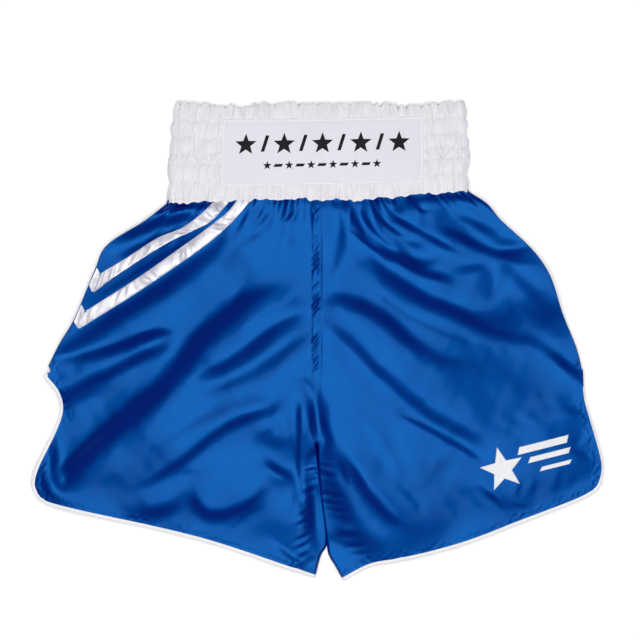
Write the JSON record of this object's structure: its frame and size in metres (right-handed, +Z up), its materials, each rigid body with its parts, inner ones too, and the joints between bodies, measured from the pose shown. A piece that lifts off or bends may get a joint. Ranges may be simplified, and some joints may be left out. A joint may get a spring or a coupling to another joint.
{
  "type": "boxing shorts",
  "caption": "Knee-length satin boxing shorts laid flat, with a wide gathered elastic waistband, side vents and diagonal stripes.",
  "frame": {"origin": "on the table, under the middle of the flat garment's bounding box", "axes": "+Z up out of the table, through the back panels and then the front panels; +Y from the crotch to the waist; +X towards the wearer's left leg"},
  "size_m": [0.629, 0.5263, 0.0195],
  "materials": {
    "satin_blue": "woven polyester satin, royal blue",
    "seam_blue": "turned edges of the blue satin",
    "satin_white": "gathered polyester satin, white",
    "binding_white": "folded satin bias binding, white",
    "stripe_white": "folded satin tape, white",
    "elastic": "knitted elastic webbing, off-white",
    "label_cloth": "smooth coated cloth, pale lilac",
    "label_edge": "woven edging tape, white",
    "motif_black": "flat transfer print, black",
    "emblem_white": "satin-stitch embroidery, white",
    "size_label": "woven label, white",
    "thread_white": "polyester sewing thread, white",
    "thread_blue": "polyester sewing thread, blue"
  },
  "bodies": {
    "root": {"right_front_panel": "satin_blue", "left_front_panel": "satin_blue", "right_back_panel": "satin_blue", "left_back_panel": "satin_blue", "right_side_seam": "seam_blue", "left_side_seam": "seam_blue", "right_inseam": "seam_blue", "left_inseam": "seam_blue", "waistband_casing": "satin_white", "right_front_binding": "binding_white", "right_back_binding": "binding_white", "left_front_binding": "binding_white", "left_back_binding": "binding_white", "upper_stripe_front": "stripe_white", "upper_stripe_back": "stripe_white", "lower_stripe_front": "stripe_white", "lower_stripe_back": "stripe_white", "elastic_loop_1": "elastic", "elastic_loop_2": "elastic", "elastic_loop_3": "elastic", "elastic_loop_4": "elastic", "label_patch": "label_cloth", "label_border": "label_edge", "label_motif": "motif_black", "leg_emblem": "emblem_white", "size_label": "size_label", "channel_stitching": "thread_white", "waist_seam_stitching": "thread_white", "label_stitching": "thread_white", "right_hem_stitching": "thread_blue", "left_hem_stitching": "thread_blue", "front_rise_stitching": "thread_blue", "back_rise_stitching": "thread_blue", "right_inseam_stitching": "thread_blue", "left_inseam_stitching": "thread_blue", "right_vent_bartack": "thread_blue", "left_vent_bartack": "thread_blue"}
  },
  "joints": []
}
